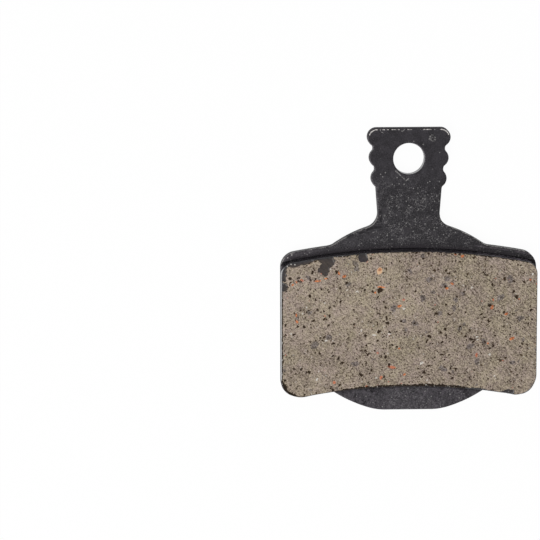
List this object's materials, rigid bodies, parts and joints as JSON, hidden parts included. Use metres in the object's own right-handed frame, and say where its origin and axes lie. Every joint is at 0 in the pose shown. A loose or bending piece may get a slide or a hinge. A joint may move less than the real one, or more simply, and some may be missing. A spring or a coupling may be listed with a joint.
{
  "type": "bicycle disc brake pad",
  "caption": "Flat steel plate with a scalloped tab and a retaining hole, carrying a moulded friction block that is keyed through the plate and presses on a disc rotor.",
  "frame": {"origin": "centre of the retaining hole, on the back face of the plate", "axes": "+Z out of the friction face along the hole's axis, +Y from the block towards the tab, +X across"},
  "size_m": [0.034, 0.0377, 0.004],
  "materials": {
    "plate_coat": "satin black coat, speckled and worn along the edges",
    "friction_compound": "matt ground compound, taupe, with dark pits and copper flecks"
  },
  "bodies": {
    "root": {"backing_plate": "plate_coat", "friction_block": "friction_compound"}
  },
  "joints": []
}
